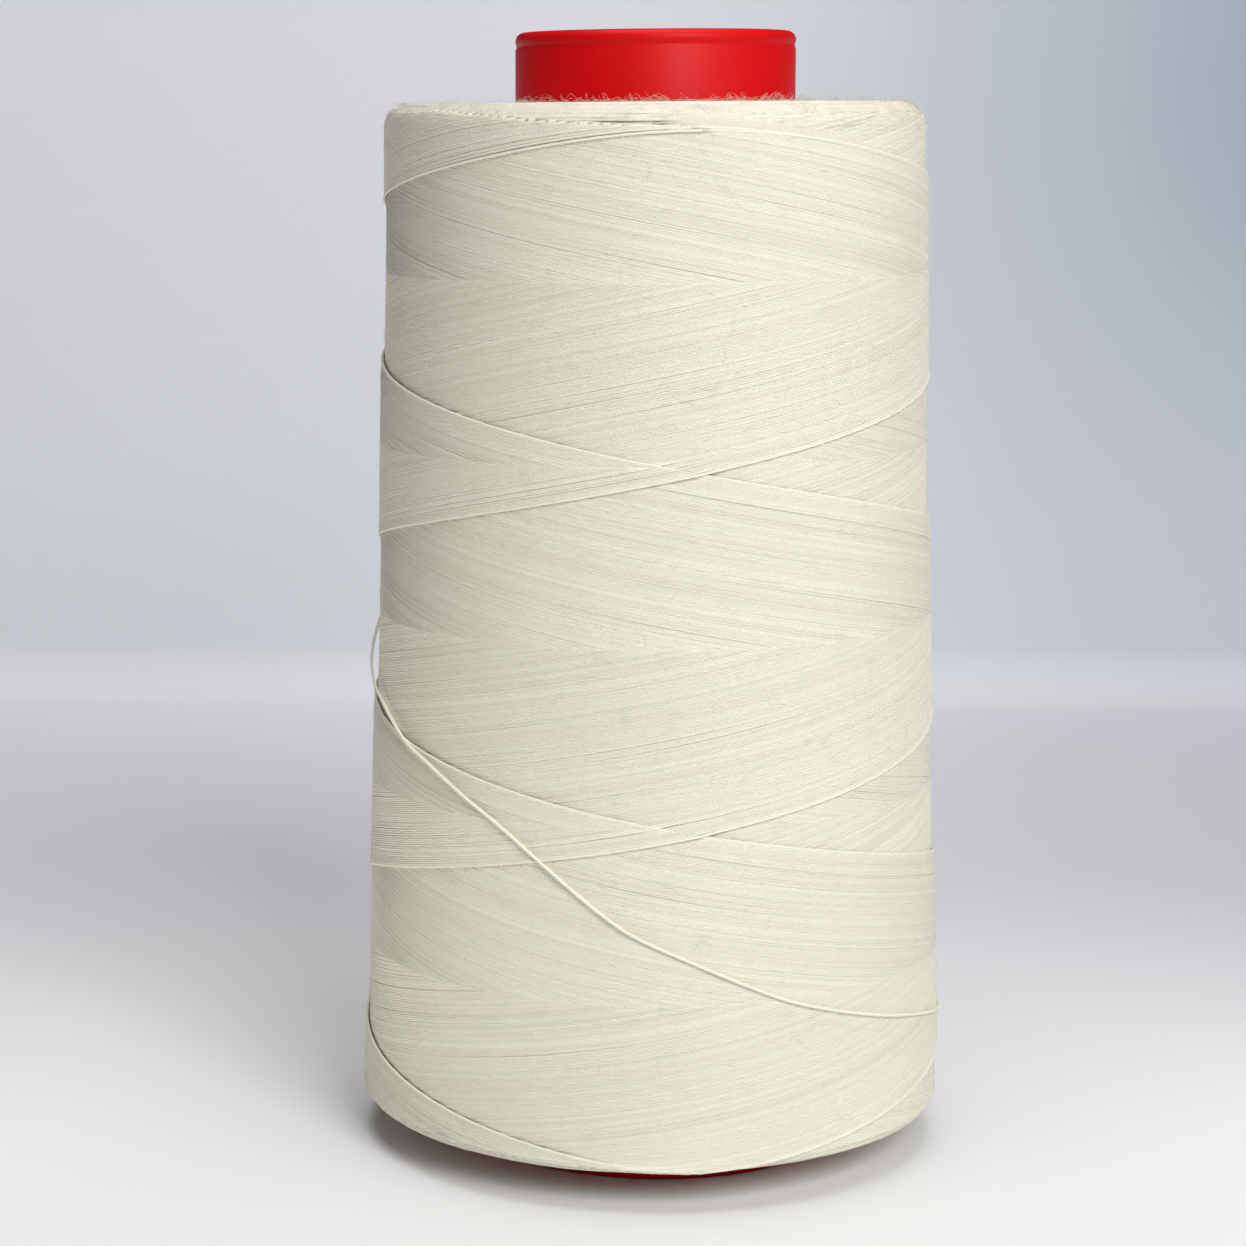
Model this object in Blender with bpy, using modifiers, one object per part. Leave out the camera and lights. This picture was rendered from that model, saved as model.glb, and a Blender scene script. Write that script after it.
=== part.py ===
"""Cone of overlock thread.

Cream spun thread is cross-wound on a moulded plastic cone, and the thread's loose end lies
diagonally across the front. Metres, +Z up. The origin is on the cone's axis, on the surface
that the foot stands on. An angle is measured round the axis from the front (-Y), and grows
towards the right (+X).
"""
from collections import namedtuple
from math import atan2, cos, hypot, pi, radians, sin

import bpy
from mathutils import Vector

# ---------------------------------------------------------------- driving dimensions (metres)
TOTAL_HEIGHT = 0.1394
PIECE_GAP = 0.0003

# the moulded cone: a long taper, then a straight nose
FOOT_RADIUS = 0.0246
TAPER_FOOT_RADIUS = 0.0240
NOSE_RADIUS = 0.0173
NOSE_START = 0.1235
CORE_WALL = 0.0016
FOOT_RIM_HEIGHT = 0.0024
FOOT_EDGE = 0.0005
RIM_EDGE = 0.0011
RIM_INNER_EDGE = 0.0005
CORE_STEPS = 48

# the wound body: its outline stands at these heights above the table
WINDING_BOTTOM = 0.0048
WINDING_TOP = 0.1308
TOP_SHOULDER = 0.0029
BOTTOM_SHOULDER = 0.0013
SIDE_ROWS = 38
WINDING_STEPS = 64

Station = namedtuple("Station", "height radius")
SIDE_STATIONS = [
    Station(height=0.0048, radius=0.03740),
    Station(height=0.0250, radius=0.03675),
    Station(height=0.0450, radius=0.03605),
    Station(height=0.0710, radius=0.03515),
    Station(height=0.0950, radius=0.03455),
    Station(height=0.1150, radius=0.03405),
    Station(height=0.1308, radius=0.03385),
]

# the thread climbs and descends one turn in this height, and the newest rising and falling
# passes cross at this angle and height
TURN_HEIGHT = 0.0425
CROSSING_HEIGHT = 0.0883
CROSSING_ANGLE = radians(10.2)
RISING_STEP = 0.00030
FALLING_STEP = 0.00050
STEP_RAMP = radians(36.0)

# the loose end: the middle line of the thread, from where it leaves the winding to its cut end
TAIL_DIAMETER = 0.0004
TAIL_POINTS = 78
RoutePoint = namedtuple("RoutePoint", "angle height radius")
TAIL_ROUTE = [
    RoutePoint(angle=-150.0, height=0.0795, radius=0.03515),
    RoutePoint(angle=-138.0, height=0.0768, radius=0.03524),
    RoutePoint(angle=-126.0, height=0.0738, radius=0.03535),
    RoutePoint(angle=-114.0, height=0.0704, radius=0.03540),
    RoutePoint(angle=-102.0, height=0.0663, radius=0.03580),
    RoutePoint(angle=-91.0, height=0.0618, radius=0.03610),
    RoutePoint(angle=-80.0, height=0.0589, radius=0.03590),
    RoutePoint(angle=-69.4, height=0.0572, radius=0.03590),
    RoutePoint(angle=-57.4, height=0.0539, radius=0.03620),
    RoutePoint(angle=-48.4, height=0.0518, radius=0.03630),
    RoutePoint(angle=-38.4, height=0.0488, radius=0.03641),
    RoutePoint(angle=-30.0, height=0.0460, radius=0.03651),
    RoutePoint(angle=-20.4, height=0.0418, radius=0.03663),
    RoutePoint(angle=-9.7, height=0.0366, radius=0.03663),
    RoutePoint(angle=-2.3, height=0.0336, radius=0.03668),
    RoutePoint(angle=8.8, height=0.0304, radius=0.03679),
    RoutePoint(angle=17.3, height=0.0279, radius=0.03689),
    RoutePoint(angle=26.4, height=0.0254, radius=0.03698),
    RoutePoint(angle=35.2, height=0.0236, radius=0.03705),
    RoutePoint(angle=45.6, height=0.0218, radius=0.03712),
    RoutePoint(angle=57.2, height=0.0201, radius=0.03719),
    RoutePoint(angle=74.0, height=0.0179, radius=0.03729),
    RoutePoint(angle=92.0, height=0.0160, radius=0.03738),
    RoutePoint(angle=110.0, height=0.0148, radius=0.03743),
    RoutePoint(angle=128.0, height=0.0138, radius=0.03734),
    RoutePoint(angle=146.0, height=0.0132, radius=0.03734),
]


# ---------------------------------------------------------------- scene and materials
for old in list(bpy.data.objects):
    bpy.data.objects.remove(old, do_unlink=True)

part = bpy.data.collections.new("cone_of_overlock_thread")
bpy.context.scene.collection.children.link(part)


def plain_material(name, colour, roughness, metallic=0.0):
    """A Principled BSDF of one colour."""
    material = bpy.data.materials.new(name)
    material.use_nodes = True
    shader = material.node_tree.nodes["Principled BSDF"]
    shader.inputs["Base Color"].default_value = (*colour, 1.0)
    shader.inputs["Roughness"].default_value = roughness
    shader.inputs["Metallic"].default_value = metallic
    material.diffuse_color = (*colour, 1.0)
    return material


THREAD = plain_material("cream_thread", (0.82, 0.77, 0.63), 0.85)
PLASTIC = plain_material("red_plastic", (0.62, 0.02, 0.02), 0.30)


# ---------------------------------------------------------------- turned shapes
def corner_arc(centre, radius, start, end, segments):
    """Points of a round corner, in (radius, height), from one angle in degrees to another."""
    points = []
    for step in range(segments + 1):
        angle = radians(start + (end - start) * step / segments)
        points.append((centre[0] + radius * cos(angle), centre[1] + radius * sin(angle)))
    return points


def turned(name, outline, steps, material):
    """A closed outline in (radius, height), down its outer side first, turned about the axis."""
    mesh = bpy.data.meshes.new(name)
    vertices = [(radius, 0.0, height) for radius, height in outline]
    edges = [(index, (index + 1) % len(vertices)) for index in range(len(vertices))]
    mesh.from_pydata(vertices, edges, [])
    body = bpy.data.objects.new(name, mesh)
    part.objects.link(body)
    mesh.materials.append(material)
    screw = body.modifiers.new("turn", "SCREW")
    screw.axis = "Z"
    screw.angle = 2.0 * pi
    screw.steps = steps
    screw.render_steps = steps
    screw.use_merge_vertices = True
    screw.merge_threshold = 0.00001
    screw.use_smooth_shade = True
    return body


# ---------------------------------------------------------------- the moulded cone
def core_radius(height):
    """Outside radius of the moulded cone: a straight taper up to the nose."""
    share = min(max(height / NOSE_START, 0.0), 1.0)
    return TAPER_FOOT_RADIUS + (NOSE_RADIUS - TAPER_FOOT_RADIUS) * share


def core_outline():
    """The cone's wall: round rim, nose, taper and foot rim outside, then the bore back up."""
    rim_corner = (NOSE_RADIUS - RIM_EDGE, TOTAL_HEIGHT - RIM_EDGE)
    foot_corner_high = (FOOT_RADIUS - FOOT_EDGE, FOOT_RIM_HEIGHT - FOOT_EDGE)
    foot_corner_low = (FOOT_RADIUS - FOOT_EDGE, FOOT_EDGE)
    nose_bore = NOSE_RADIUS - CORE_WALL
    bore_corner = (nose_bore + RIM_INNER_EDGE, TOTAL_HEIGHT - RIM_INNER_EDGE)
    outline = corner_arc(rim_corner, RIM_EDGE, 90.0, 0.0, 4)
    outline.append((NOSE_RADIUS, NOSE_START))
    outline.append((core_radius(FOOT_RIM_HEIGHT), FOOT_RIM_HEIGHT))
    outline += corner_arc(foot_corner_high, FOOT_EDGE, 90.0, 0.0, 2)
    outline += corner_arc(foot_corner_low, FOOT_EDGE, 0.0, -90.0, 2)
    outline.append((TAPER_FOOT_RADIUS - CORE_WALL, 0.0))
    outline.append((nose_bore, NOSE_START))
    outline += corner_arc(bore_corner, RIM_INNER_EDGE, 180.0, 90.0, 2)
    return outline


turned("cone_core", core_outline(), CORE_STEPS, PLASTIC)


# ---------------------------------------------------------------- the wound body
def side_radius(height):
    """Radius of the wound side at a height, between the stations above and below it."""
    for low, high in zip(SIDE_STATIONS, SIDE_STATIONS[1:]):
        if height <= high.height:
            share = (height - low.height) / (high.height - low.height)
            return low.radius + (high.radius - low.radius) * share
    return SIDE_STATIONS[-1].radius


def winding_outline():
    """The thread's section: round shoulders, tapered side, flat ends and a bore over the cone."""
    top_corner = (side_radius(WINDING_TOP) - TOP_SHOULDER, WINDING_TOP - TOP_SHOULDER)
    low_corner = (side_radius(WINDING_BOTTOM) - BOTTOM_SHOULDER, WINDING_BOTTOM + BOTTOM_SHOULDER)
    outline = corner_arc(top_corner, TOP_SHOULDER, 90.0, 0.0, 4)
    side_top = WINDING_TOP - TOP_SHOULDER
    side_bottom = WINDING_BOTTOM + BOTTOM_SHOULDER
    for row in range(1, SIDE_ROWS):
        height = side_top + (side_bottom - side_top) * row / SIDE_ROWS
        outline.append((side_radius(height), height))
    outline += corner_arc(low_corner, BOTTOM_SHOULDER, 0.0, -90.0, 3)
    outline.append((core_radius(WINDING_BOTTOM) + PIECE_GAP, WINDING_BOTTOM))
    outline.append((core_radius(NOSE_START) + PIECE_GAP, NOSE_START))
    outline.append((core_radius(NOSE_START) + PIECE_GAP, WINDING_TOP))
    return outline


def pass_depth(age, step):
    """How far a pass lies under the newest one: it sinks with age, and the newest ends in a step."""
    newest_edge = 2.0 * pi - STEP_RAMP
    if age < newest_edge:
        return step * age / (2.0 * pi)
    return step * (newest_edge / (2.0 * pi)) * (2.0 * pi - age) / STEP_RAMP


def winding_depth(angle, height):
    """How far the thread lies inside the outline, under the newest rising and falling passes."""
    climb = 2.0 * pi * (height - CROSSING_HEIGHT) / TURN_HEIGHT
    round_from_crossing = angle - CROSSING_ANGLE
    rising_age = (climb - round_from_crossing) % (2.0 * pi)
    falling_age = (-climb - round_from_crossing) % (2.0 * pi)
    return pass_depth(rising_age, RISING_STEP) + pass_depth(falling_age, FALLING_STEP)


def wound_body(name):
    """The turned body, with its outer side drawn in by the depth of the passes that show there."""
    blank = turned(name + "_blank", winding_outline(), WINDING_STEPS, THREAD)
    bpy.context.view_layer.update()
    evaluated = blank.evaluated_get(bpy.context.evaluated_depsgraph_get())
    mesh = bpy.data.meshes.new_from_object(evaluated)
    bpy.data.objects.remove(blank, do_unlink=True)
    mesh.name = name
    for vertex in mesh.vertices:
        x, y, height = vertex.co
        radius = hypot(x, y)
        bore = core_radius(height) + PIECE_GAP
        share = min(max((radius - bore) / TOP_SHOULDER - 1.0, 0.0), 1.0)
        drawn_in = 1.0 - share * winding_depth(atan2(x, -y), height) / radius
        vertex.co = (x * drawn_in, y * drawn_in, height)
    body = bpy.data.objects.new(name, mesh)
    part.objects.link(body)
    return body


wound_body("thread_winding")


# ---------------------------------------------------------------- the loose end
def route_place(row):
    """A route row as a place in space."""
    angle = radians(row.angle)
    return Vector((row.radius * sin(angle), -row.radius * cos(angle), row.height))


def smooth_route(places, count):
    """Evenly counted points of the smooth curve that passes through the places."""
    ends = [places[0] * 2.0 - places[1], *places, places[-1] * 2.0 - places[-2]]
    points = []
    for index in range(count):
        travel = index / (count - 1) * (len(places) - 1)
        span = min(int(travel), len(places) - 2)
        t = travel - span
        before, start, end, after = ends[span:span + 4]
        points.append(0.5 * (
            2.0 * start
            + (end - before) * t
            + (2.0 * before - 5.0 * start + 4.0 * end - after) * t ** 2
            + (3.0 * start - 3.0 * end + after - before) * t ** 3
        ))
    return points


def cord_tube(name, points, diameter, material):
    """A round cord along the points, with closed ends."""
    curve = bpy.data.curves.new(name, "CURVE")
    curve.dimensions = "3D"
    curve.bevel_depth = diameter / 2.0
    curve.bevel_resolution = 2
    curve.use_fill_caps = True
    spline = curve.splines.new("POLY")
    spline.points.add(len(points) - 1)
    for spline_point, place in zip(spline.points, points):
        spline_point.co = (*place, 1.0)
    curve.materials.append(material)
    body = bpy.data.objects.new(name, curve)
    part.objects.link(body)
    return body


tail_places = [route_place(row) for row in TAIL_ROUTE]
cord_tube("thread_tail", smooth_route(tail_places, TAIL_POINTS), TAIL_DIAMETER, THREAD)
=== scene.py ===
from collections import namedtuple
from math import cos, hypot, pi, radians, sin

import bmesh
import bpy
import numpy as np
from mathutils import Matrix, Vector


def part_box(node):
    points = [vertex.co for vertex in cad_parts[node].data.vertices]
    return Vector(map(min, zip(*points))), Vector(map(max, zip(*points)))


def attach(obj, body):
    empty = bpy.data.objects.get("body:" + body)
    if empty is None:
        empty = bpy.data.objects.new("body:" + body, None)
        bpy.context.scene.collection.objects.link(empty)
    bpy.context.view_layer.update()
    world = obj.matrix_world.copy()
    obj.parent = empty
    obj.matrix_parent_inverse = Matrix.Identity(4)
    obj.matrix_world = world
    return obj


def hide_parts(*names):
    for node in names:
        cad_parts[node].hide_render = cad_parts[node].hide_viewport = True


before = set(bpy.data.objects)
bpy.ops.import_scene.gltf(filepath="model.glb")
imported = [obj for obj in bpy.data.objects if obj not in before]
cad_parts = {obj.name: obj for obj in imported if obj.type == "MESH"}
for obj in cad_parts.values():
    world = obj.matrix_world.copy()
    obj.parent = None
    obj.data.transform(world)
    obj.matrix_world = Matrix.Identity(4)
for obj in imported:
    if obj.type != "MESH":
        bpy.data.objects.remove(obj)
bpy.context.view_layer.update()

# ================================================================ viewpoint
# The cone is seen from a few of its own widths away, from level with the top of the winding and
# looking down a little, so the foot shows from above and the nose from just below its rim. It
# stands to the right of the lens axis, so the frame is shifted by that much.
EYE_DISTANCE = 0.3946
EYE_HEIGHT = 0.1289
FOCAL_LENGTH = 90.41
FRAMED_LEFT = 0.1653

lens = bpy.data.cameras.new("viewpoint")
lens.lens = FOCAL_LENGTH
lens.sensor_width = 36.0
lens.shift_x = FRAMED_LEFT
lens.clip_start = 0.01
lens.clip_end = 20.0
viewpoint = bpy.data.objects.new("viewpoint", lens)
viewpoint.location = (0.0, -EYE_DISTANCE, EYE_HEIGHT)
viewpoint.rotation_euler = (radians(80.86), radians(0.37), radians(4.29))
bpy.context.scene.collection.objects.link(viewpoint)
bpy.context.scene.camera = viewpoint
bpy.context.scene.view_settings.view_transform = "Standard"


# ================================================================ the loose end
# The cut end of the spun polyester thread: two plies twisted together, soft and a little hairy.
# It comes off the winding at the back left, stands off it in a shallow bow at the left side,
# and lies down across the front to its cut end at the back right, held by its own fuzz.
TAIL_DIAMETER = 0.0004
TAIL_POINTS = 320
TAIL_SIDES = 10
TAIL_TONE = 0.95
TAIL_BEDDED = 0.00028
PLY_PITCH = 0.00062
RoutePoint = namedtuple("RoutePoint", "angle height radius")
TAIL_ROUTE = [
    RoutePoint(angle=-150.0, height=0.0795, radius=0.03515),
    RoutePoint(angle=-138.0, height=0.0768, radius=0.03524),
    RoutePoint(angle=-126.0, height=0.0738, radius=0.03535),
    RoutePoint(angle=-114.0, height=0.0704, radius=0.03540),
    RoutePoint(angle=-102.0, height=0.0663, radius=0.03580),
    RoutePoint(angle=-91.0, height=0.0618, radius=0.03610),
    RoutePoint(angle=-80.0, height=0.0589, radius=0.03590),
    RoutePoint(angle=-69.4, height=0.0572, radius=0.03590),
    RoutePoint(angle=-57.4, height=0.0539, radius=0.03620),
    RoutePoint(angle=-48.4, height=0.0518, radius=0.03630),
    RoutePoint(angle=-38.4, height=0.0488, radius=0.03641),
    RoutePoint(angle=-30.0, height=0.0460, radius=0.03651),
    RoutePoint(angle=-20.4, height=0.0418, radius=0.03663),
    RoutePoint(angle=-9.7, height=0.0366, radius=0.03663),
    RoutePoint(angle=-2.3, height=0.0336, radius=0.03668),
    RoutePoint(angle=8.8, height=0.0304, radius=0.03679),
    RoutePoint(angle=17.3, height=0.0279, radius=0.03689),
    RoutePoint(angle=26.4, height=0.0254, radius=0.03698),
    RoutePoint(angle=35.2, height=0.0236, radius=0.03705),
    RoutePoint(angle=45.6, height=0.0218, radius=0.03712),
    RoutePoint(angle=57.2, height=0.0201, radius=0.03719),
    RoutePoint(angle=74.0, height=0.0179, radius=0.03729),
    RoutePoint(angle=92.0, height=0.0160, radius=0.03738),
    RoutePoint(angle=110.0, height=0.0148, radius=0.03743),
    RoutePoint(angle=128.0, height=0.0138, radius=0.03734),
    RoutePoint(angle=146.0, height=0.0132, radius=0.03734),
]


class Wire:
    """An output of a material's node. Arithmetic on it adds Math nodes."""

    def __init__(self, finish, socket):
        self.finish = finish
        self.socket = socket

    def math(self, operation, *values):
        settings = {"operation": operation}
        return self.finish.node("Math", settings, dict(enumerate(values)))

    def __add__(self, other):
        return self.math("ADD", self, other)

    def __radd__(self, other):
        return self.math("ADD", other, self)

    def __sub__(self, other):
        return self.math("SUBTRACT", self, other)

    def __mul__(self, other):
        return self.math("MULTIPLY", self, other)

    def __rmul__(self, other):
        return self.math("MULTIPLY", other, self)

    def __truediv__(self, other):
        return self.math("DIVIDE", self, other)

    def sine(self):
        return self.math("SINE", self)


class Finish:
    """A material with one Principled shader, and one way of adding any other node."""

    def __init__(self, name, **uniform):
        self.material = bpy.data.materials.new(name)
        self.material.use_nodes = True
        self.tree = self.material.node_tree
        self.shader = self.tree.nodes["Principled BSDF"]
        self.fit(self.shader, uniform)

    def fit(self, node, values):
        for name, value in values.items():
            socket = node.inputs[name.replace("_", " ") if isinstance(name, str) else name]
            if isinstance(value, Wire):
                self.tree.links.new(value.socket, socket)
            else:
                socket.default_value = value

    def node(self, kind, settings, values, output=0):
        node = self.tree.nodes.new("ShaderNode" + kind)
        for name, value in settings.items():
            setattr(node, name, value)
        self.fit(node, values)
        return Wire(self, node.outputs[output])

    def blend(self, share, low, high):
        """A colour between two others."""
        settings = {"data_type": "RGBA", "clamp_factor": True}
        return self.node("Mix", settings, {0: share, 6: low, 7: high}, output=2)

    def noise(self, place, scale, detail):
        """Soft noise from 0 to 1 over a place."""
        values = {"Vector": place, "Scale": scale, "Detail": detail}
        return self.node("TexNoise", {"noise_dimensions": "3D"}, values)

    def relief(self, height, depth, strength):
        """A normal raised by a height from 0 to 1 over a depth in metres."""
        values = {"Strength": strength, "Distance": depth, "Height": height}
        return self.node("Bump", {}, values)


def thread_finish(name, tint=1.0):
    """Cream two-ply spun thread, whose UV map runs along it and round it in metres and turns."""
    finish = Finish(name, Roughness=0.78, Sheen_Weight=0.25, Sheen_Roughness=0.45)
    finish.fit(finish.shader, {"Specular IOR Level": 0.30})
    place = finish.node("TexCoord", {}, {}, output=3)
    run = finish.node("UVMap", {"uv_map": "UVMap"}, {})
    along = finish.node("SeparateXYZ", {}, {0: run}, output=0)
    around = finish.node("SeparateXYZ", {}, {0: run}, output=1)
    tone = finish.node("Attribute", {"attribute_name": "tone"}, {}, output=2)
    plies = (2.0 * pi * (along / PLY_PITCH + 2.0 * around)).sine() * 0.5 + 0.5
    fibres = finish.noise(place, 6500.0, detail=2.0)
    drift = finish.noise(place, 45.0, detail=2.0)
    # base colour: each strand's random tone, slow random drift and fibre noise, with the ply grooves
    # painted darker as painted shade
    shade = 0.34 + 0.26 * tone + 0.12 * plies + 0.20 * drift + 0.14 * (fibres - 0.5)
    deep = tuple(tint * channel for channel in (0.700, 0.655, 0.510)) + (1.0,)
    pale = tuple(tint * channel for channel in (0.860, 0.845, 0.735)) + (1.0,)
    raised = plies * 0.7 + fibres * 0.3
    finish.fit(finish.shader, {
        "Base Color": finish.blend(shade, deep, pale),
        "Normal": finish.relief(raised, 0.00004, 0.8),
    })
    return finish.material


def spun(name, strands, thickness, sides, finish, tones):
    """Strands of thread joined in one mesh: a round tube along each strand's points, in its tone."""
    curve = bpy.data.curves.new(name, "CURVE")
    curve.dimensions = "3D"
    curve.bevel_depth = thickness / 2.0
    curve.bevel_resolution = (sides - 4) // 2
    for strand in strands:
        spline = curve.splines.new("POLY")
        spline.points.add(len(strand) - 1)
        places = np.column_stack([strand, np.ones(len(strand))])
        spline.points.foreach_set("co", places.astype(np.float32).ravel())
    guide = bpy.data.objects.new(name + "_guide", curve)
    bpy.context.scene.collection.objects.link(guide)
    bpy.context.view_layer.update()
    evaluated = guide.evaluated_get(bpy.context.evaluated_depsgraph_get())
    mesh = bpy.data.meshes.new_from_object(evaluated)
    bpy.data.objects.remove(guide)
    counts = np.array([len(strand) for strand in strands]) * sides
    lengths = [np.linalg.norm(np.diff(strand, axis=0), axis=1).sum() for strand in strands]
    owner = np.repeat(np.arange(len(strands)), counts)
    corners = np.empty(len(mesh.loops), dtype=np.int32)
    mesh.loops.foreach_get("vertex_index", corners)
    run = np.empty(2 * len(mesh.loops), dtype=np.float32)
    mesh.uv_layers["UVMap"].data.foreach_get("uv", run)
    run[0::2] *= np.array(lengths, dtype=np.float32)[owner[corners]]
    mesh.uv_layers["UVMap"].data.foreach_set("uv", run)
    tone = mesh.attributes.new("tone", "FLOAT", "POINT")
    tone.data.foreach_set("value", np.asarray(tones)[owner].astype(np.float32))
    shell = bmesh.new()
    shell.from_mesh(mesh)
    bmesh.ops.holes_fill(shell, edges=[edge for edge in shell.edges if edge.is_boundary], sides=sides)
    shell.to_mesh(mesh)
    shell.free()
    mesh.shade_smooth()
    mesh.materials.clear()
    mesh.materials.append(finish)
    piece = bpy.data.objects.new(name, mesh)
    bpy.context.scene.collection.objects.link(piece)
    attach(piece, "root")
    return piece


def smooth_route(places, count):
    """Evenly counted points of the smooth curve that passes through the places."""
    ends = [places[0] * 2.0 - places[1], *places, places[-1] * 2.0 - places[-2]]
    points = []
    for index in range(count):
        travel = index / (count - 1) * (len(places) - 1)
        span = min(int(travel), len(places) - 2)
        t = travel - span
        before, start, end, after = ends[span:span + 4]
        points.append(0.5 * (
            2.0 * start
            + (end - before) * t
            + (2.0 * before - 5.0 * start + 4.0 * end - after) * t ** 2
            + (3.0 * start - 3.0 * end + after - before) * t ** 3
        ))
    return points


def round_place(angle, height, radius):
    """A place on the winding, from its angle from the front, height and radius."""
    return Vector((radius * sin(angle), -radius * cos(angle), height))


tail_route = [
    round_place(radians(row.angle), row.height, row.radius - TAIL_BEDDED) for row in TAIL_ROUTE
]
tail_path = smooth_route(tail_route, TAIL_POINTS)
tail_length = sum((end - start).length for start, end in zip(tail_path, tail_path[1:]))
cream_thread = thread_finish("cream_thread")
# a copy of the cream thread painted 6% paler, as painted light on the loose end and the fuzz that stand
# off the winding
painted_lit_thread = thread_finish("cream_thread_painted_lit", tint=1.06)
thread_tail = spun(
    "loose_end", [np.array(tail_path)], TAIL_DIAMETER, TAIL_SIDES, painted_lit_thread, [TAIL_TONE],
)
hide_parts("thread_tail")


# ================================================================ the plastic cone
# Injection-moulded red polypropylene: a long taper under the winding, a straight nose that
# stands out of the top with a rolled rim, and a foot rim. The outside has a soft gloss.
core_low, core_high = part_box("cone_core")
CORE_TOP = core_high[2]
FOOT_RADIUS = (core_high[0] - core_low[0]) / 2.0
TAPER_FOOT_RADIUS = FOOT_RADIUS - 0.0006
NOSE_RADIUS = 0.0173
NOSE_START = 0.1235
CORE_WALL = 0.0016
FOOT_RIM_HEIGHT = 0.0024
FOOT_EDGE = 0.0005
RIM_EDGE = 0.0011
RIM_GROOVE = 0.00012
RIM_INNER_EDGE = 0.0005
CORE_STEPS = 180


def corner_arc(centre, radius, start, end, segments):
    """Points of a round corner, in (radius, height), from one angle in degrees to another."""
    points = []
    for step in range(segments + 1):
        angle = radians(start + (end - start) * step / segments)
        points.append((centre[0] + radius * cos(angle), centre[1] + radius * sin(angle)))
    return points


def core_radius(height):
    """Outside radius of the moulded cone: a straight taper up to the nose."""
    share = min(max(height / NOSE_START, 0.0), 1.0)
    return TAPER_FOOT_RADIUS + (NOSE_RADIUS - TAPER_FOOT_RADIUS) * share


def turned(name, outline, steps):
    """A closed outline in (radius, height), down its outer side first, turned about the axis."""
    shell = bmesh.new()
    corners = [shell.verts.new((radius, 0.0, height)) for radius, height in outline]
    edges = [shell.edges.new((start, end)) for start, end in zip(corners, corners[1:] + corners[:1])]
    bmesh.ops.spin(
        shell, geom=corners + edges, cent=(0.0, 0.0, 0.0), axis=(0.0, 0.0, 1.0),
        angle=2.0 * pi, steps=steps, use_merge=True,
    )
    bmesh.ops.remove_doubles(shell, verts=shell.verts, dist=0.000001)
    bmesh.ops.recalc_face_normals(shell, faces=shell.faces)
    mesh = bpy.data.meshes.new(name)
    shell.to_mesh(mesh)
    shell.free()
    mesh.shade_smooth()
    piece = bpy.data.objects.new(name, mesh)
    bpy.context.scene.collection.objects.link(piece)
    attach(piece, "root")
    return piece


def plastic_finish(name):
    """Red plastic with a soft gloss, dulled by fine handling marks, and a faint flow ripple."""
    finish = Finish(name)
    finish.fit(finish.shader, {"Specular IOR Level": 0.14})
    place = finish.node("TexCoord", {}, {}, output=3)
    flow = finish.noise(place, 90.0, detail=2.0)
    grain = finish.noise(place, 2600.0, detail=2.0)
    finish.fit(finish.shader, {
        "Base Color": finish.blend(flow, (0.600, 0.003, 0.003, 1.0), (0.690, 0.006, 0.010, 1.0)),
        "Roughness": 0.36 + 0.10 * flow + 0.06 * grain,
        "Normal": finish.relief(0.8 * flow + 0.2 * grain, 0.00006, 0.5),
    })
    return finish.material


rim_corner = (NOSE_RADIUS - RIM_EDGE, CORE_TOP - RIM_EDGE)
bore_corner = (NOSE_RADIUS - CORE_WALL + RIM_INNER_EDGE, CORE_TOP - RIM_INNER_EDGE)
core_outline = corner_arc(rim_corner, RIM_EDGE, 90.0, -30.0, 10)
core_outline.append((NOSE_RADIUS - RIM_GROOVE, CORE_TOP - 1.75 * RIM_EDGE))
core_outline.append((NOSE_RADIUS, CORE_TOP - 2.0 * RIM_EDGE))
core_outline.append((NOSE_RADIUS, NOSE_START))
core_outline.append((core_radius(FOOT_RIM_HEIGHT), FOOT_RIM_HEIGHT))
core_outline += corner_arc((FOOT_RADIUS - FOOT_EDGE, FOOT_RIM_HEIGHT - FOOT_EDGE), FOOT_EDGE, 90.0, 0.0, 4)
core_outline += corner_arc((FOOT_RADIUS - FOOT_EDGE, FOOT_EDGE), FOOT_EDGE, 0.0, -90.0, 4)
core_outline.append((TAPER_FOOT_RADIUS - CORE_WALL, 0.0))
core_outline.append((NOSE_RADIUS - CORE_WALL, NOSE_START))
core_outline += corner_arc(bore_corner, RIM_INNER_EDGE, 180.0, 90.0, 4)
plastic_cone = turned("plastic_cone", core_outline, CORE_STEPS)
plastic_cone.data.set_sharp_from_angle(angle=radians(50.0))
plastic_cone.data.materials.append(plastic_finish("red_plastic"))
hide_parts("cone_core")


# ================================================================ the wound thread
# About five kilometres of thread, laid in steep crossing turns: three turns up the cone and three
# down for each double stroke. The newest passes lie on the older ones, so rising and falling
# passes change over along two stepped spirals, and weave where they meet level round the cone.
winding_low, winding_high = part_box("thread_winding")
WINDING_BOTTOM = winding_low[2]
WINDING_TOP = winding_high[2]
TOP_SHOULDER = 0.0029
BOTTOM_SHOULDER = 0.0009
PIECE_GAP = 0.0003
Station = namedtuple("Station", "height radius")
SIDE_STATIONS = [
    Station(height=0.0048, radius=0.03740),
    Station(height=0.0250, radius=0.03675),
    Station(height=0.0450, radius=0.03605),
    Station(height=0.0710, radius=0.03515),
    Station(height=0.0950, radius=0.03455),
    Station(height=0.1150, radius=0.03405),
    Station(height=0.1308, radius=0.03385),
]
TURN_HEIGHT = 0.0425
CROSSING_HEIGHT = 0.0883
CROSSING_ANGLE = radians(10.2)
RISING_STEP = 0.00030
FALLING_STEP = 0.00050
FULL_TURN = 2.0 * pi


def side_radius(height):
    """Radius of the wound form's straight side at a height."""
    heights = [station.height for station in SIDE_STATIONS]
    radii = [station.radius for station in SIDE_STATIONS]
    return np.interp(height, heights, radii)


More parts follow.
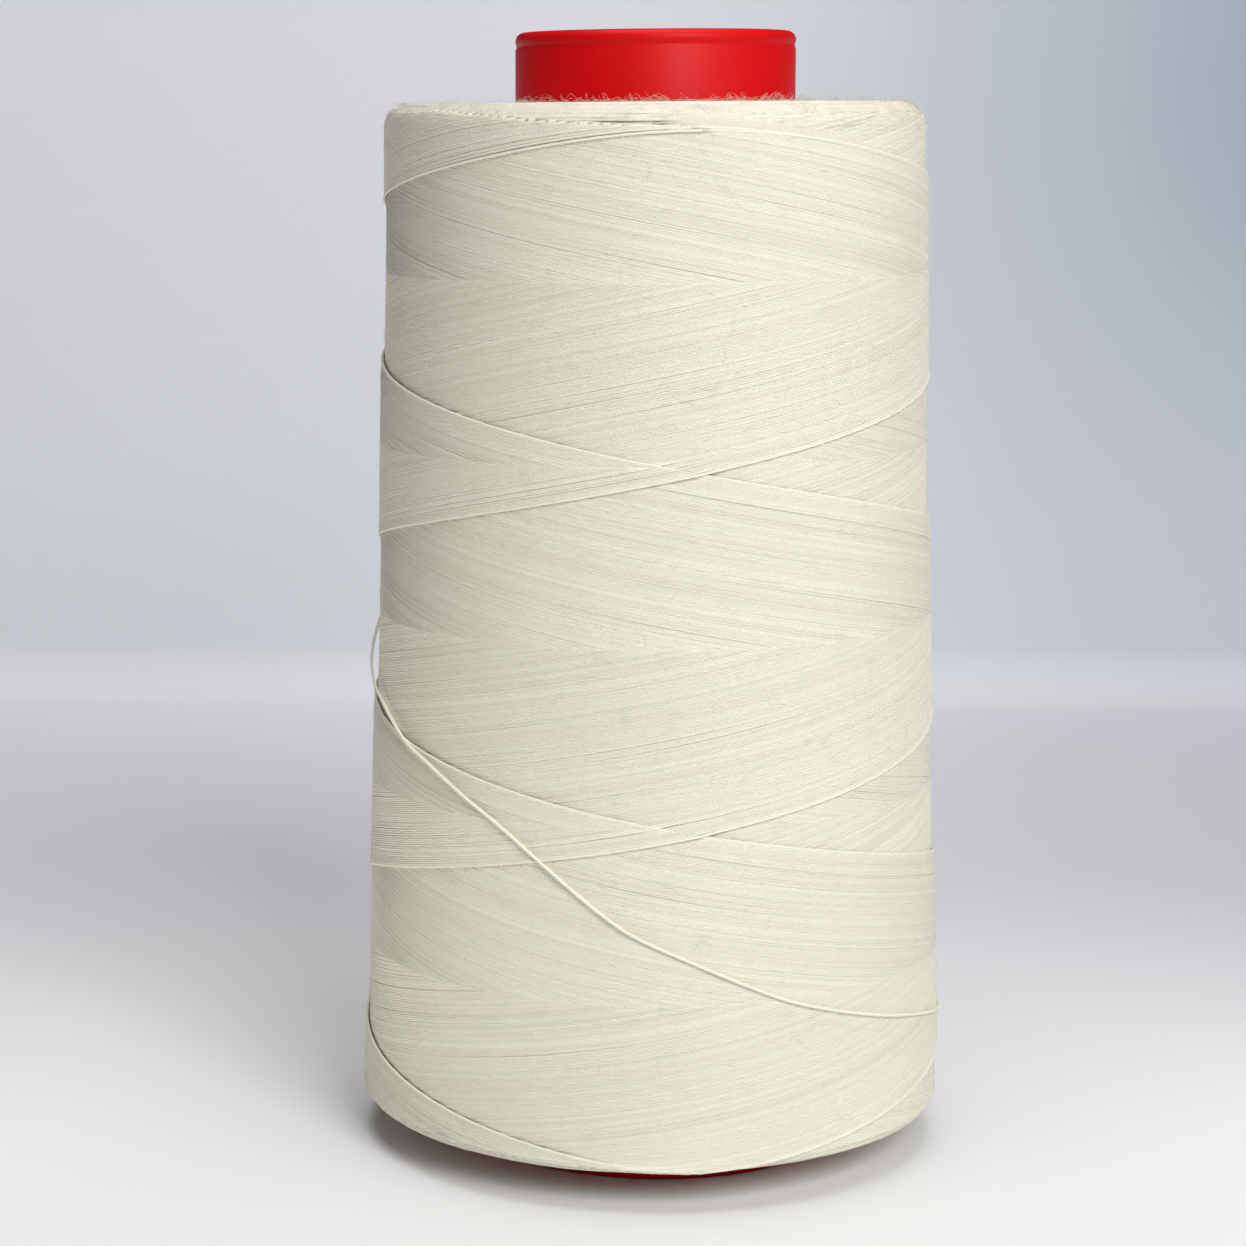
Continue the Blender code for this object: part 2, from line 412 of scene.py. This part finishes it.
def outline_radius(height):
    """Radius of the wound form at a height, with its round shoulders."""
    over = np.clip(height - (WINDING_TOP - TOP_SHOULDER), 0.0, TOP_SHOULDER)
    under = np.clip(WINDING_BOTTOM + BOTTOM_SHOULDER - height, 0.0, BOTTOM_SHOULDER)
    top_loss = TOP_SHOULDER - np.sqrt(TOP_SHOULDER ** 2 - over ** 2)
    low_loss = BOTTOM_SHOULDER - np.sqrt(BOTTOM_SHOULDER ** 2 - under ** 2)
    return side_radius(height) - top_loss - low_loss


def sunk(angle, height, edge):
    """How far the thread lies inside the outline: it sinks as its passes age."""
    climb = (height - CROSSING_HEIGHT) / TURN_HEIGHT
    beyond = (angle - CROSSING_ANGLE) / FULL_TURN
    rising_age = (climb - beyond) % 1.0
    falling_age = (-climb - beyond) % 1.0
    rising_depth = RISING_STEP * np.maximum(rising_age, 1.0 - rising_age / edge)
    return rising_depth + FALLING_STEP * np.maximum(falling_age, 1.0 - falling_age / edge)


# the thread packed under the passes that show: a solid body with the bore over the cone
THREAD_DIAMETER = 0.00034
BODY_STEPS = 160
BODY_ROWS = 150
BODY_EDGE = 0.03
SUNK_BEYOND = 0.028
INSET = 0.80 * THREAD_DIAMETER
top_corner = (SIDE_STATIONS[-1].radius - TOP_SHOULDER, WINDING_TOP - TOP_SHOULDER)
low_corner = (SIDE_STATIONS[0].radius - BOTTOM_SHOULDER, WINDING_BOTTOM + BOTTOM_SHOULDER)
body_outline = corner_arc(top_corner, TOP_SHOULDER - INSET, 90.0, 0.0, 8)
for row in range(1, BODY_ROWS):
    height = top_corner[1] + (low_corner[1] - top_corner[1]) * row / BODY_ROWS
    body_outline.append((float(side_radius(height)) - INSET, height))
body_outline += corner_arc(low_corner, BOTTOM_SHOULDER - INSET, 0.0, -90.0, 5)
body_outline.append((core_radius(WINDING_BOTTOM) + PIECE_GAP, WINDING_BOTTOM + INSET))
body_outline.append((core_radius(NOSE_START) + PIECE_GAP, NOSE_START))
body_outline.append((core_radius(NOSE_START) + PIECE_GAP, WINDING_TOP - INSET))
packed_thread = turned("packed_thread", body_outline, BODY_STEPS)
for vertex in packed_thread.data.vertices:
    x, y, height = vertex.co
    radius = hypot(x, y)
    if radius > SUNK_BEYOND:
        share = 1.0 - sunk(np.arctan2(x, -y), height, BODY_EDGE) / radius
        vertex.co = (x * share, y * share, height)
packed_thread.data.update()


def packed_finish(name):
    """The thread seen between the passes: fine crossing turns, painted darker as painted shade from those
    above.
    """
    finish = Finish(name, Roughness=0.85)
    finish.fit(finish.shader, {"Specular IOR Level": 0.2})
    place = finish.node("TexCoord", {}, {}, output=3)
    fibres = finish.noise(place, 3000.0, detail=3.0)
    finish.fit(finish.shader, {
        "Base Color": finish.blend(fibres, (0.66, 0.62, 0.50, 1.0), (0.82, 0.79, 0.68, 1.0)),
        "Normal": finish.relief(fibres, 0.00010, 0.8),
    })
    return finish.material


packed_thread.data.materials.append(packed_finish("packed_thread"))
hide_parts("thread_winding")

# the passes that show, each one leg of a double stroke: three turns up the cone or three down
# a pass's age is its share of all the passes, counted back from the newest
THREAD_SIDES = 6
PASS_SPACING = 0.00026
PASSES = round(TURN_HEIGHT / PASS_SPACING)
STROKE_TURNS = 3.0
REVERSAL_TOP = CROSSING_HEIGHT + TURN_HEIGHT
REVERSAL_LOW = REVERSAL_TOP - STROKE_TURNS * TURN_HEIGHT
STEP_ANGLE = radians(5.0)
# a pass ducks under a newer one over this share of the ages, and is left out where it lies deeper
DUCKING = 0.02
NO_DUCKING_ANGLE = radians(6.0)
KEPT_UNDER = 0.045
KEPT_ANGLE = radians(14.0)
# the waves fade out towards a bight, and the newest falling passes sag on the step they lie over
FADE_ANGLE = radians(45.0)
EDGE_SAG = 0.00016
EDGE_AGE = 0.05
# where both are as new as each other, the rising passes lie on top
RISING_LEAD = 0.03
BIGHT_REACH = 14
TOP_BIGHTS = (0.0007, 0.0018)
LOW_BIGHTS = (0.0018, 0.0027)
BIGHT_SCATTER = 0.00003
NEWEST_PASSES = 26
NEWEST_BIGHT = 0.0031
NEWEST_SCATTER = 0.00012
Wave = namedtuple("Wave", "size per_radian per_age")
SWAY = [
    Wave(size=0.00007, per_radian=1.0, per_age=19.0),
    Wave(size=0.00005, per_radian=2.3, per_age=44.0),
    Wave(size=0.000015, per_radian=1.7, per_age=160.0),
    Wave(size=0.000012, per_radian=4.1, per_age=310.0),
]
rng = np.random.default_rng(11)


def soft_row(count, reach, low, high):
    """Random values along a row of passes, alike for near neighbours."""
    raw = rng.uniform(0.0, 1.0, count + 2 * reach)
    window = np.hanning(2 * reach + 3)[1:-1]
    smooth = np.convolve(raw, window / window.sum(), mode="valid")[:count]
    smooth = (smooth - smooth.min()) / (smooth.max() - smooth.min())
    return low + (high - low) * smooth


# how round each pass turns back at the top and at the bottom: the newest turn back widest
bight_top = soft_row(PASSES, BIGHT_REACH, *TOP_BIGHTS) + rng.normal(0.0, BIGHT_SCATTER, PASSES)
bight_low = soft_row(PASSES, BIGHT_REACH, *LOW_BIGHTS) + rng.normal(0.0, BIGHT_SCATTER, PASSES)
newest = np.clip(1.0 - np.arange(PASSES) / NEWEST_PASSES, 0.0, 1.0)
newest_bights = NEWEST_BIGHT + rng.normal(0.0, NEWEST_SCATTER, PASSES)
bight_top = bight_top * (1.0 - newest) + newest_bights * newest
sway_phases = rng.uniform(0.0, FULL_TURN, len(SWAY))


def laid_leg(index, rising, slip, lift):
    """The stretches of a leg that show, as points in space, ducking under newer passes."""
    age = (index + 0.5) / PASSES
    travel = np.arange(0.0, STROKE_TURNS * FULL_TURN + STEP_ANGLE / 2.0, STEP_ANGLE)
    from_low = travel if rising else travel[-1] - travel
    slope = TURN_HEIGHT / FULL_TURN
    low_line = REVERSAL_LOW + np.hypot(slope * from_low, bight_low[index])
    top_line = REVERSAL_TOP - np.hypot(slope * (travel[-1] - from_low), bight_top[index])
    share = from_low / travel[-1]
    height = low_line * (1.0 - share) + top_line * share
    fade = np.clip(np.minimum(travel, travel[-1] - travel) / FADE_ANGLE, 0.0, 1.0)
    sway = sum(
        wave.size * np.sin(wave.per_radian * travel + wave.per_age * age + phase)
        for wave, phase in zip(SWAY, sway_phases)
    )
    height = height + fade * (slip + sway)
    start = (REVERSAL_LOW if rising else REVERSAL_TOP) - CROSSING_HEIGHT
    start = start / TURN_HEIGHT if rising else -start / TURN_HEIGHT
    angle = CROSSING_ANGLE + FULL_TURN * (start - age) + travel
    over_age = (age - 2.0 * travel / FULL_TURN) % 1.0
    over_step = FALLING_STEP if rising else RISING_STEP
    own_step = RISING_STEP if rising else FALLING_STEP
    turn_age = age - RISING_LEAD if rising else age + RISING_LEAD
    from_bight = np.minimum(travel, travel[-1] - travel)
    ducking = np.clip((turn_age - over_age) / DUCKING, 0.0, 1.0)
    ducking = ducking * np.clip(from_bight / NO_DUCKING_ANGLE, 0.0, 1.0)
    bridging = np.clip(1.0 - turn_age / DUCKING, 0.0, 1.0)
    bridging = bridging * np.clip(1.0 - (1.0 - over_age) / DUCKING, 0.0, 1.0)
    depth = own_step * age + over_step * (over_age * (1.0 - bridging) + ducking)
    if not rising:
        depth = depth + EDGE_SAG * max(1.0 - age / EDGE_AGE, 0.0)
    radius = outline_radius(height) - depth - THREAD_DIAMETER / 2.0 + lift
    places = np.column_stack([radius * np.sin(angle), -radius * np.cos(angle), height])
    under = (turn_age - over_age > KEPT_UNDER) & (over_age > KEPT_UNDER)
    under = under & (from_bight > KEPT_ANGLE)
    ends = np.flatnonzero(np.diff(np.concatenate([[1], under.astype(int), [1]])))
    return [places[first:last] for first, last in zip(ends[0::2], ends[1::2]) if last - first > 2]


# passes lie a little unevenly, a few stray further, and the newest two stand proud with a painted
# highlight
SCATTER = 0.000012
TONE_SCATTER = 0.45
STRAY_SHARE = 0.05
STRAY_LIFT = 0.00004
STRAY_SLIP = 0.00003
PROUD_PASSES = 2
PROUD_LIFT = 0.00012
EDGE_HIGHLIGHT_TONE = 1.8


def laid_passes(name, rising, first, last):
    """The passes of one direction from one age to another, as one piece."""
    strands = []
    tones = []
    for index in range(first, last):
        slip = rng.normal(0.0, SCATTER)
        lift = rng.normal(0.0, SCATTER)
        tone = np.clip(0.5 + TONE_SCATTER * rng.normal(), -0.5, 1.5)
        if rng.uniform() < STRAY_SHARE:
            lift += STRAY_LIFT
            slip += rng.choice([-1.0, 1.0]) * STRAY_SLIP
        # the newest two are painted paler, a painted highlight for the light caught along the newest
        # layer's edge
        if index < PROUD_PASSES:
            slip = 0.0
            lift = PROUD_LIFT * (1.0 - 0.5 * index)
            tone = EDGE_HIGHLIGHT_TONE - 0.8 * index
        for strand in laid_leg(index, rising, slip, lift):
            strands.append(strand)
            tones.append(tone)
    return spun(name, strands, THREAD_DIAMETER, THREAD_SIDES, cream_thread, tones)


# two pieces for each direction, so that neither has too many triangles
NEWER_SHARE = 0.38
newer = round(NEWER_SHARE * PASSES)
laid_passes("rising_passes_newer", True, 0, newer)
laid_passes("rising_passes_older", True, newer, PASSES)
laid_passes("falling_passes_newer", False, 0, newer)
laid_passes("falling_passes_older", False, newer, PASSES)

# the ends of the winding: the turns of each layer's edge, lying as arcs round the cone, which
# sink under the passes' bights towards the shoulder
TOP_ARCS = 400
LOW_ARCS = 150
CORE_CLEARANCE = 0.0007
ARC_STEP = radians(6.0)
ARC_RANGE = (radians(60.0), radians(170.0))
ARC_WRAP = 0.85
ARC_DRIFT = 0.0009
ARC_TUCK = 0.0004
ARC_TUCK_SHARE = 0.12
ARC_SINK = 0.0006
ARC_SCATTER = 0.00010
ARC_TONE_SCATTER = 0.16
CENTRED_RADIUS = 0.026
CENTRED_FADE = 0.004


def end_arcs(name, count, level, outward, shoulder, inner, outer):
    """Short arcs of thread over an end face and its shoulder, their ends tucked into it."""
    strands = []
    for _ in range(count):
        radius = inner + (outer - inner) * rng.uniform() ** 0.6
        arc = rng.uniform(*ARC_RANGE)
        turn = rng.uniform(0.0, FULL_TURN) + np.arange(0.0, arc, ARC_STEP)
        travel = np.linspace(0.0, 1.0, len(turn))
        spread = radius + rng.uniform(-ARC_DRIFT, ARC_DRIFT) * (travel - 0.5)
        spread = np.clip(spread, inner, outer)
        tucked = np.clip(1.0 - np.minimum(travel, 1.0 - travel) / ARC_TUCK_SHARE, 0.0, 1.0)
        depth = THREAD_DIAMETER / 2.0 + rng.uniform(0.0, ARC_SCATTER) + ARC_TUCK * tucked
        past = np.clip(spread - (outer - ARC_WRAP * shoulder), 0.0, shoulder)
        depth = depth + shoulder - np.sqrt(shoulder ** 2 - past ** 2) + ARC_SINK * past / shoulder
        height = level - outward * depth
        drawn_in = np.clip((spread - CENTRED_RADIUS) / CENTRED_FADE, 0.0, 1.0)
        spread = spread - drawn_in * sunk(turn, level, BODY_EDGE)
        strands.append(np.column_stack([spread * np.sin(turn), -spread * np.cos(turn), height]))
    tones = np.clip(rng.normal(0.5, ARC_TONE_SCATTER, count), 0.0, 1.0)
    return spun(name, strands, THREAD_DIAMETER, THREAD_SIDES, cream_thread, tones)


end_arcs(
    "top_end_turns", TOP_ARCS, WINDING_TOP, 1.0, TOP_SHOULDER,
    core_radius(NOSE_START) + CORE_CLEARANCE, top_corner[0] + ARC_WRAP * TOP_SHOULDER,
)
end_arcs(
    "low_end_turns", LOW_ARCS, WINDING_BOTTOM, -1.0, BOTTOM_SHOULDER,
    core_radius(WINDING_BOTTOM) + CORE_CLEARANCE, low_corner[0] + ARC_WRAP * BOTTOM_SHOULDER,
)


# ================================================================ the fuzz
# Ends of the short staple fibres the thread is spun from. They stand off the winding everywhere
# as a fine down, thicker round the top shoulder and where the end turns rub on the plastic cone.
FIBRE_DIAMETER = 0.000024
FIBRE_POINTS = 5
FIBRE_SIDES = 4
FIBRE_TONE = 0.9
SIDE_FIBRES = 2700
SHOULDER_FIBRES = 1000
NOSE_FIBRES = 420
NOSE_FUZZ_WIDTH = 0.012


def fibre(angle, radius, height, lean, reach, length):
    """One fibre end: it leaves the surface, whose slope is the lean, and bows or stands off it."""
    travel = np.linspace(0.0, 1.0, FIBRE_POINTS)
    heading = rng.normal(0.0, 0.5) + (pi if rng.uniform() < 0.5 else 0.0)
    bend = rng.normal(0.0, 0.5)
    along = length * travel * np.cos(heading + bend * travel)
    across = length * travel * np.sin(heading + bend * travel)
    off = reach * (np.sin(pi * travel) if rng.uniform() < 0.6 else travel ** 1.5) - 0.00002
    out = off * cos(lean) - across * sin(lean)
    turn = angle + along / radius
    reached = radius + out
    level = height + off * sin(lean) + across * cos(lean)
    return np.column_stack([reached * np.sin(turn), -reached * np.cos(turn), level])


fibres = []
for _ in range(SIDE_FIBRES):
    angle = rng.uniform(0.0, FULL_TURN)
    height = rng.uniform(WINDING_BOTTOM + 0.001, top_corner[1])
    radius = outline_radius(height) - sunk(angle, height, BODY_EDGE)
    reach = rng.uniform(0.00004, 0.00030)
    fibres.append(fibre(angle, radius, height, 0.0, reach, rng.uniform(0.0008, 0.0026)))
for _ in range(SHOULDER_FIBRES):
    angle = rng.uniform(0.0, FULL_TURN)
    lean = rng.uniform(0.0, pi / 2.0)
    radius = top_corner[0] + TOP_SHOULDER * cos(lean) - sunk(angle, WINDING_TOP, BODY_EDGE)
    height = top_corner[1] + TOP_SHOULDER * sin(lean)
    reach = rng.uniform(0.00006, 0.00040)
    fibres.append(fibre(angle, radius, height, lean, reach, rng.uniform(0.0008, 0.0026)))
for _ in range(NOSE_FIBRES):
    angle = rng.normal(radians(40.0), radians(65.0))
    radius = core_radius(NOSE_START) + 0.0006 + NOSE_FUZZ_WIDTH * rng.uniform() ** 2
    reach = 0.0002 + 0.0009 * rng.uniform() ** 2
    fibres.append(fibre(angle, radius, WINDING_TOP, pi / 2.0, reach, rng.uniform(0.0008, 0.0024)))
# the fibres take a pale tone and the paler copy of the thread, as painted light on them
fibre_tones = np.full(len(fibres), FIBRE_TONE)
spun("fuzz", fibres, FIBRE_DIAMETER, FIBRE_SIDES, painted_lit_thread, fibre_tones)


# ================================================================ table, wall and light
# A pale paper table that sweeps up into a low lavender-grey wall, one large soft light from above
# and to the right, one over the top, two faint ones, and a warm glow off the table at the left.
# The wall is only as high as the viewpoint needs, so the cone shows from behind as well.
TABLE_HALF_WIDTH = 2.4
TABLE_FRONT = -2.4
SWEEP_START = 0.288
SWEEP_RADIUS = 0.012
SWEEP_STEPS = 16
WALL_HEIGHT = 0.168

sweep = bmesh.new()
profile = [(TABLE_FRONT, 0.0), (-0.3, 0.0), (0.0, 0.0), (SWEEP_START, 0.0)]
for step in range(1, SWEEP_STEPS + 1):
    turn = radians(90.0 * step / SWEEP_STEPS)
    profile.append((SWEEP_START + SWEEP_RADIUS * sin(turn), SWEEP_RADIUS * (1.0 - cos(turn))))
profile.append((SWEEP_START + SWEEP_RADIUS, WALL_HEIGHT))
line = [sweep.verts.new((-TABLE_HALF_WIDTH, y, z)) for y, z in profile]
edges = [sweep.edges.new(pair) for pair in zip(line, line[1:])]
extruded = bmesh.ops.extrude_edge_only(sweep, edges=edges)
moved = [item for item in extruded["geom"] if isinstance(item, bmesh.types.BMVert)]
bmesh.ops.translate(sweep, vec=(2.0 * TABLE_HALF_WIDTH, 0.0, 0.0), verts=moved)
bmesh.ops.recalc_face_normals(sweep, faces=sweep.faces)
table_mesh = bpy.data.meshes.new("table_and_wall")
sweep.to_mesh(table_mesh)
sweep.free()
table_mesh.shade_smooth()
table = bpy.data.objects.new("table_and_wall", table_mesh)
bpy.context.scene.collection.objects.link(table)


def ramp(finish, value, start, end, low=0.0, high=1.0):
    """A value's smooth rise from low to high between a start and an end."""
    settings = {"interpolation_type": "SMOOTHSTEP"}
    return finish.node("MapRange", settings, {0: value, 1: start, 2: end, 3: low, 4: high})


def paper_finish(name):
    """Matt paper, painted brightest near the front and darker up the wall to the right, as painted light
    and shade.
    """
    finish = Finish(name, Roughness=0.75)
    place = finish.node("TexCoord", {}, {}, output=3)
    side = finish.node("SeparateXYZ", {}, {0: place}, output=0)
    depth = finish.node("SeparateXYZ", {}, {0: place}, output=1)
    height = finish.node("SeparateXYZ", {}, {0: place}, output=2)
    away = ramp(finish, depth, -0.02, 0.15)
    up_wall = ramp(finish, height, 0.0, SWEEP_RADIUS)
    rightward = ramp(finish, side, -0.02, 0.16)
    upward = ramp(finish, height, 0.01, 0.14, low=0.4)
    # painted shade: the far table and the wall's upper right are painted darker, standing for the light's
    # falloff
    far_flat = finish.blend(rightward, (0.68, 0.675, 0.72, 1.0), (0.56, 0.56, 0.61, 1.0))
    flat = finish.blend(away, (0.88, 0.88, 0.90, 1.0), far_flat)
    wall = finish.blend(rightward * upward, (0.73, 0.75, 0.80, 1.0), (0.34, 0.40, 0.47, 1.0))
    finish.fit(finish.shader, {"Base Color": finish.blend(up_wall, flat, wall)})
    return finish.material


table_mesh.materials.append(paper_finish("pale_table"))

SoftLight = namedtuple("SoftLight", "name place aim size power colour")
SOFT_LIGHTS = [
    SoftLight("key", (0.36, -0.78, 0.60), (0.0, 0.0, 0.06), 0.45, 6.9, (1.0, 0.998, 0.985)),
    SoftLight("overhead", (0.0, 0.0, 0.90), (0.0, 0.0, 0.08), 0.60, 4.6, (1.0, 0.99, 0.97)),
    SoftLight("side", (0.70, -0.42, 0.52), (0.0, 0.0, 0.06), 0.45, 0.8, (1.0, 0.985, 0.955)),
    SoftLight("fill", (-0.22, -0.82, 0.50), (0.0, 0.0, 0.06), 0.45, 0.15, (0.93, 1.0, 1.0)),
    SoftLight("table_glow", (-0.078, -0.05, 0.0015), (-0.078, -0.05, 1.0), 0.06, 0.020, (1.0, 0.93, 0.80)),
]
for row in SOFT_LIGHTS:
    lamp = bpy.data.lights.new(row.name, "AREA")
    lamp.shape = "SQUARE"
    lamp.size = row.size
    lamp.energy = row.power
    lamp.color = row.colour
    holder = bpy.data.objects.new(row.name, lamp)
    holder.location = row.place
    holder.visible_camera = False
    aim = Vector(row.aim) - Vector(row.place)
    holder.rotation_euler = aim.to_track_quat("-Z", "Y").to_euler()
    bpy.context.scene.collection.objects.link(holder)

ROOM_COLOUR = (0.86, 0.88, 0.94, 1.0)
ROOM_STRENGTH = 0.03
room = bpy.data.worlds.new("room")
room.use_nodes = True
room.node_tree.nodes["Background"].inputs["Color"].default_value = ROOM_COLOUR
room.node_tree.nodes["Background"].inputs["Strength"].default_value = ROOM_STRENGTH
bpy.context.scene.world = room
